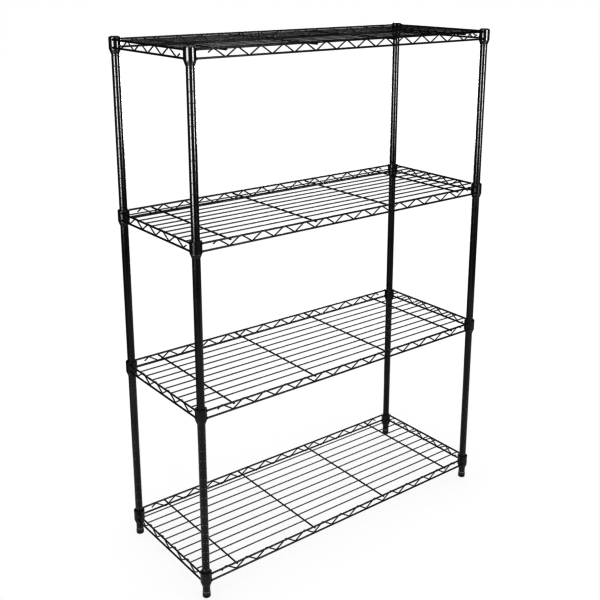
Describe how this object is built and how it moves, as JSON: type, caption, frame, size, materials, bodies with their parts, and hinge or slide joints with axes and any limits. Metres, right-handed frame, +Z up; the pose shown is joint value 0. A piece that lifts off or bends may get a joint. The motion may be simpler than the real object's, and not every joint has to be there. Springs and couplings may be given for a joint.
{
  "type": "wire shelving rack",
  "caption": "Black wire shelving rack: wire shelves held on ring-grooved round posts by split tapered sleeves, on levelling feet.",
  "frame": {"origin": "on the floor, midway between the four posts", "axes": "+Z up, +X along the rack's width, with the front of the rack facing -Y"},
  "size_m": [0.9648, 0.3778, 1.372],
  "materials": {
    "post_coat": "gloss black epoxy coat on round steel tube, rolled ring grooves",
    "collar_coat": "gloss black epoxy coat on pressed steel collars",
    "wire_coat": "gloss black epoxy coat on drawn steel wire",
    "cap_plastic": "satin black moulded plastic caps",
    "sleeve_plastic": "satin black moulded plastic sleeve halves",
    "foot_plastic": "satin black moulded plastic foot pads",
    "plated_steel": "bright zinc plating on threaded steel"
  },
  "bodies": {
    "posts": {"front_left_post_lower": "post_coat", "front_right_post_lower": "post_coat", "rear_left_post_lower": "post_coat", "rear_right_post_lower": "post_coat", "front_left_post_upper": "post_coat", "front_right_post_upper": "post_coat", "rear_left_post_upper": "post_coat", "rear_right_post_upper": "post_coat", "post_joint_studs": "plated_steel", "post_joint_nuts": "plated_steel", "post_caps": "cap_plastic", "foot_nuts": "plated_steel", "top_sleeves_outer_halves": "sleeve_plastic", "top_sleeves_inner_halves": "sleeve_plastic", "upper_sleeves_outer_halves": "sleeve_plastic", "upper_sleeves_inner_halves": "sleeve_plastic", "lower_sleeves_outer_halves": "sleeve_plastic", "lower_sleeves_inner_halves": "sleeve_plastic", "bottom_sleeves_outer_halves": "sleeve_plastic", "bottom_sleeves_inner_halves": "sleeve_plastic"},
    "top_shelf": {"top_shelf_collars": "collar_coat", "top_shelf_upper_rims": "wire_coat", "top_shelf_lower_rims": "wire_coat", "top_shelf_zigzags": "wire_coat", "top_shelf_deck_wires": "wire_coat", "top_shelf_crossbars": "wire_coat"},
    "upper_shelf": {"upper_shelf_collars": "collar_coat", "upper_shelf_upper_rims": "wire_coat", "upper_shelf_lower_rims": "wire_coat", "upper_shelf_zigzags": "wire_coat", "upper_shelf_deck_wires": "wire_coat", "upper_shelf_crossbars": "wire_coat"},
    "lower_shelf": {"lower_shelf_collars": "collar_coat", "lower_shelf_upper_rims": "wire_coat", "lower_shelf_lower_rims": "wire_coat", "lower_shelf_zigzags": "wire_coat", "lower_shelf_deck_wires": "wire_coat", "lower_shelf_crossbars": "wire_coat"},
    "bottom_shelf": {"bottom_shelf_collars": "collar_coat", "bottom_shelf_upper_rims": "wire_coat", "bottom_shelf_lower_rims": "wire_coat", "bottom_shelf_zigzags": "wire_coat", "bottom_shelf_deck_wires": "wire_coat", "bottom_shelf_crossbars": "wire_coat"},
    "front_left_foot_pad": {"front_left_foot_pad": "foot_plastic"},
    "front_right_foot_pad": {"front_right_foot_pad": "foot_plastic"},
    "rear_left_foot_pad": {"rear_left_foot_pad": "foot_plastic"},
    "rear_right_foot_pad": {"rear_right_foot_pad": "foot_plastic"},
    "front_left_foot_stud": {"front_left_foot_stud": "plated_steel"},
    "front_right_foot_stud": {"front_right_foot_stud": "plated_steel"},
    "rear_left_foot_stud": {"rear_left_foot_stud": "plated_steel"},
    "rear_right_foot_stud": {"rear_right_foot_stud": "plated_steel"}
  },
  "joints": [
    {"name": "top_shelf_lift", "type": "slide", "parent": "posts", "child": "top_shelf", "axis": [0, 0, 1], "range_m": [0, 0.12]},
    {"name": "upper_shelf_lift", "type": "slide", "parent": "posts", "child": "upper_shelf", "axis": [0, 0, 1], "range_m": [0, 0.385]},
    {"name": "lower_shelf_lift", "type": "slide", "parent": "posts", "child": "lower_shelf", "axis": [0, 0, 1], "range_m": [0, 0.368]},
    {"name": "bottom_shelf_lift", "type": "slide", "parent": "posts", "child": "bottom_shelf", "axis": [0, 0, 1], "range_m": [0, 0.4]},
    {"name": "front_left_foot_height", "type": "slide", "parent": "posts", "child": "front_left_foot_pad", "axis": [0, 0, -1], "range_m": [0, 0.01]},
    {"name": "front_left_foot_screw", "type": "hinge", "parent": "front_left_foot_pad", "child": "front_left_foot_stud", "pos_m": [-0.468, -0.1745, 0.02], "axis": [0, 0, 1], "range_deg": [0, 2881]},
    {"name": "front_right_foot_height", "type": "slide", "parent": "posts", "child": "front_right_foot_pad", "axis": [0, 0, -1], "range_m": [0, 0.01]},
    {"name": "front_right_foot_screw", "type": "hinge", "parent": "front_right_foot_pad", "child": "front_right_foot_stud", "pos_m": [0.468, -0.1745, 0.02], "axis": [0, 0, 1], "range_deg": [0, 2881]},
    {"name": "rear_left_foot_height", "type": "slide", "parent": "posts", "child": "rear_left_foot_pad", "axis": [0, 0, -1], "range_m": [0, 0.01]},
    {"name": "rear_left_foot_screw", "type": "hinge", "parent": "rear_left_foot_pad", "child": "rear_left_foot_stud", "pos_m": [-0.468, 0.1745, 0.02], "axis": [0, 0, 1], "range_deg": [0, 2881]},
    {"name": "rear_right_foot_height", "type": "slide", "parent": "posts", "child": "rear_right_foot_pad", "axis": [0, 0, -1], "range_m": [0, 0.01]},
    {"name": "rear_right_foot_screw", "type": "hinge", "parent": "rear_right_foot_pad", "child": "rear_right_foot_stud", "pos_m": [0.468, 0.1745, 0.02], "axis": [0, 0, 1], "range_deg": [0, 2881]}
  ],
  "couplings": [
    {"joint": "front_left_foot_screw", "follows": "front_left_foot_height", "rad_per_m": 5026.5},
    {"joint": "front_right_foot_screw", "follows": "front_right_foot_height", "rad_per_m": 5026.5},
    {"joint": "rear_left_foot_screw", "follows": "rear_left_foot_height", "rad_per_m": 5026.5},
    {"joint": "rear_right_foot_screw", "follows": "rear_right_foot_height", "rad_per_m": 5026.5}
  ]
}
